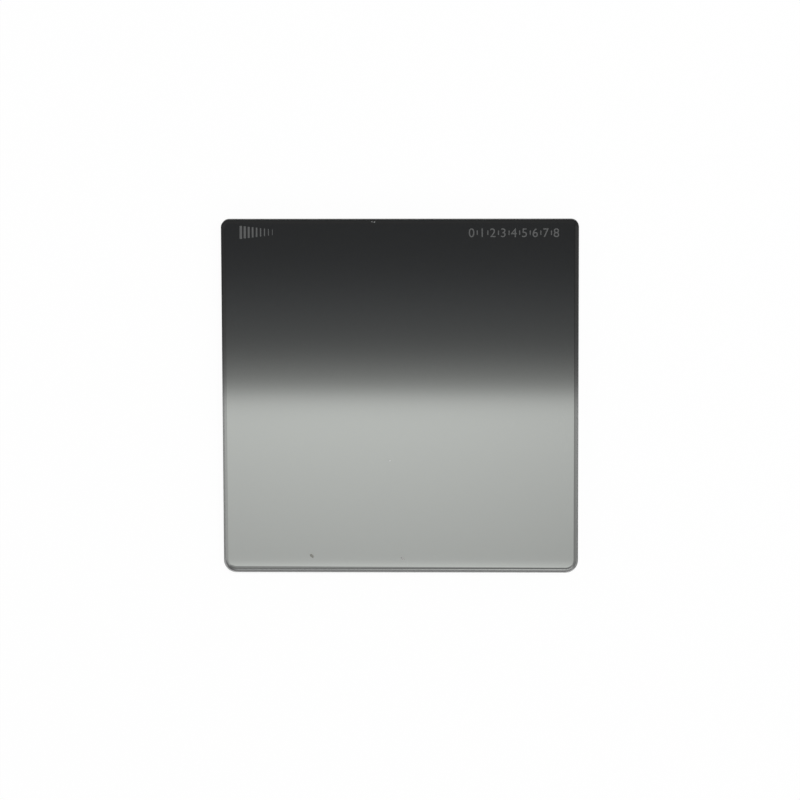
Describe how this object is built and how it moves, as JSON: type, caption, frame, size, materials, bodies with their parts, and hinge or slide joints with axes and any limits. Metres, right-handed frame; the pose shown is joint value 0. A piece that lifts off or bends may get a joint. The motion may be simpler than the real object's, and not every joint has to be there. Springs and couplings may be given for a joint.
{
  "type": "square graduated neutral density filter",
  "caption": "Square graduated grey glass filter plate with rounded corners and ground bevelled edges, dark at one side and clear at the other.",
  "frame": {"origin": "middle of the rear polished face, on the surface that the plate lies on", "axes": "+Z out of the marked front face, +Y toward the dark half, +X to the right when the front face is seen with the dark half up"},
  "size_m": [0.1016, 0.1016, 0.004],
  "materials": {
    "graduated_glass": "neutral grey glass, polished faces that fade from dark to clear along Y, with ground edge walls and bevels"
  },
  "bodies": {
    "root": {"filter_plate": "graduated_glass"}
  },
  "joints": []
}
